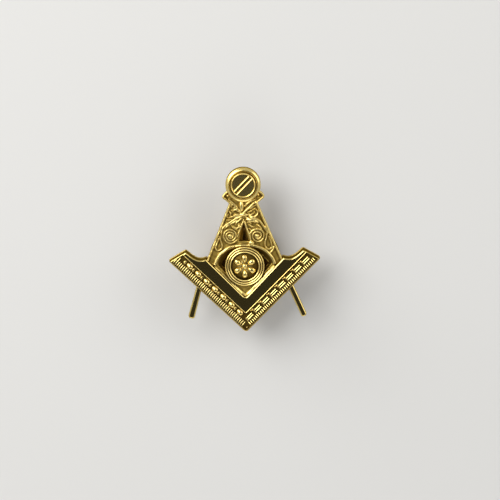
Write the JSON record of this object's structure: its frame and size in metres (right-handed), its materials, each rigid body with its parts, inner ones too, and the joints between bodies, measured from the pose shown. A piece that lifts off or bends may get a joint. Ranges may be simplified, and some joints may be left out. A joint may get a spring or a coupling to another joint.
{
  "type": "masonic lapel pin with its clutch",
  "caption": "Gilt cast lapel pin, a ruled square over scrolled compasses with a round rosette, on a post held by a round clutch.",
  "frame": {"origin": "on the axis of the post, at the flat back of the clutch, which the pin lies on", "axes": "+Z out of the face, +Y towards the head of the compasses, +X to the right of the face"},
  "size_m": [0.0242, 0.0264, 0.0082],
  "materials": {
    "gilt": "cast brass, gold plated and polished, recesses toned darker",
    "clutch": "plain turned brass, lightly brushed"
  },
  "bodies": {
    "root": {"emblem": "gilt", "clutch": "clutch"}
  },
  "joints": []
}
